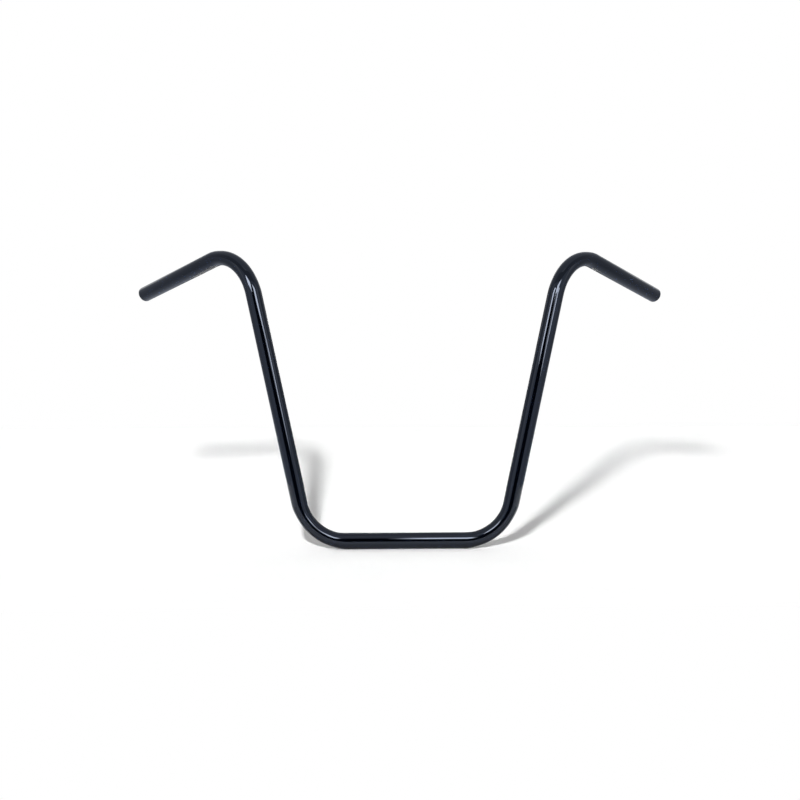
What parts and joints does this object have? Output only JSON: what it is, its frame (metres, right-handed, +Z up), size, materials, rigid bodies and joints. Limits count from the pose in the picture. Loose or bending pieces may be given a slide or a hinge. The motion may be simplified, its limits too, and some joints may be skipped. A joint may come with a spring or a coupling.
{
  "type": "ape hanger handlebar",
  "caption": "High-rise motorcycle handlebar bent from steel tube: straight clamp section, tall outward-leaning uprights, and open grip ends swept back and angled down.",
  "frame": {"origin": "centre of the clamp section, on the tube's axis", "axes": "+X along the clamp section towards the rider's left, +Z up along the rise of the uprights, +Y back towards the rider, the way the grips sweep"},
  "size_m": [0.8196, 0.181, 0.4173],
  "materials": {
    "gloss_black_coat": "gloss black coat on steel tube"
  },
  "bodies": {
    "root": {"handlebar": "gloss_black_coat"}
  },
  "joints": []
}
